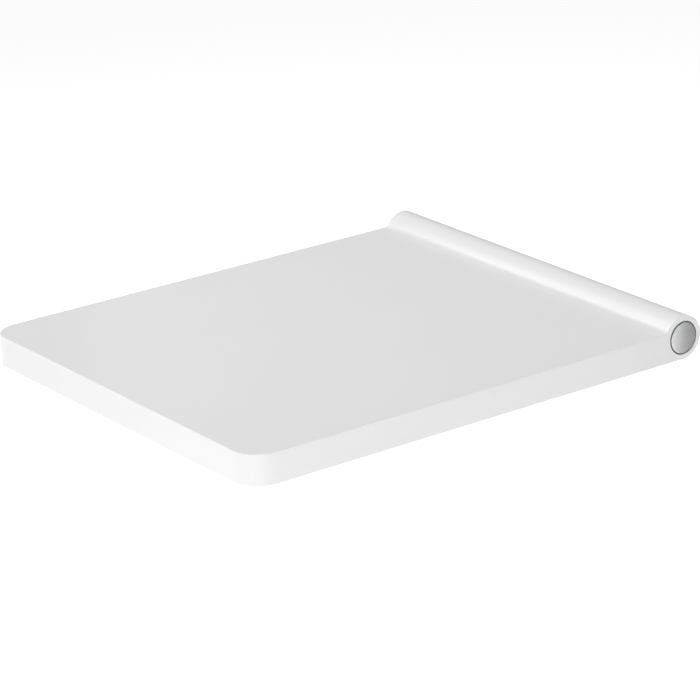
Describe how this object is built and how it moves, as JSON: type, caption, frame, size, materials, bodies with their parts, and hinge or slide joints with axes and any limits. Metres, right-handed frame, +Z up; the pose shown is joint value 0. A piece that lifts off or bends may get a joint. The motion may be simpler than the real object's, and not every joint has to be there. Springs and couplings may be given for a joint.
{
  "type": "folding shower seat",
  "caption": "Wall-mounted folding shower seat: a flat moulded plate with rounded front corners and a round hinge barrel along its back, on a steel wall bracket.",
  "frame": {"origin": "on the wall, at the back face of the wall plate, in the middle of its width and level with the hinge axis", "axes": "+X along the hinge, to the right when facing the wall; +Y into the wall; +Z up. The lowered seat reaches out along -Y"},
  "size_m": [0.381, 0.465, 0.091],
  "materials": {
    "shell_white": "satin moulding",
    "cover_white": "fine moulded grain",
    "cap_metal": "satin turned",
    "frame_steel": "mill finish",
    "bracket_steel": "brushed",
    "fastener_steel": "plain",
    "washer_plastic": "plain",
    "bush_plastic": "plain",
    "plug_plastic": "plain",
    "pad_rubber": "matt"
  },
  "bodies": {
    "wall_bracket": {"bracket_lug_left": "bracket_steel", "bracket_lug_right": "bracket_steel", "lug_bush_left": "bush_plastic", "lug_bush_right": "bush_plastic", "stop_pad_left": "pad_rubber", "stop_pad_right": "pad_rubber", "wall_plate": "bracket_steel"},
    "seat": {"cap_carrier_left": "plug_plastic", "cap_carrier_right": "plug_plastic", "cover_screws": "fastener_steel", "end_cap_left": "cap_metal", "end_cap_right": "cap_metal", "frame_arm_left": "frame_steel", "frame_arm_right": "frame_steel", "frame_bar_front": "frame_steel", "frame_bar_rear": "frame_steel", "frame_strap_front_left": "frame_steel", "frame_strap_front_right": "frame_steel", "frame_strap_rear_left": "frame_steel", "frame_strap_rear_right": "frame_steel", "hinge_knuckle_left": "frame_steel", "hinge_knuckle_right": "frame_steel", "hinge_pin_left": "fastener_steel", "hinge_pin_right": "fastener_steel", "inner_washer_left": "washer_plastic", "inner_washer_right": "washer_plastic", "knuckle_screws": "fastener_steel", "outer_washer_left": "washer_plastic", "outer_washer_right": "washer_plastic", "seat_shell": "shell_white", "sprung_washers_left": "fastener_steel", "sprung_washers_right": "fastener_steel", "strap_screws": "fastener_steel", "underside_cover": "cover_white"}
  },
  "joints": [
    {"name": "seat_fold", "type": "hinge", "parent": "wall_bracket", "child": "seat", "pos_m": [0, -0.028, 0], "axis": [-1, 0, 0], "range_deg": [0, 92]}
  ]
}
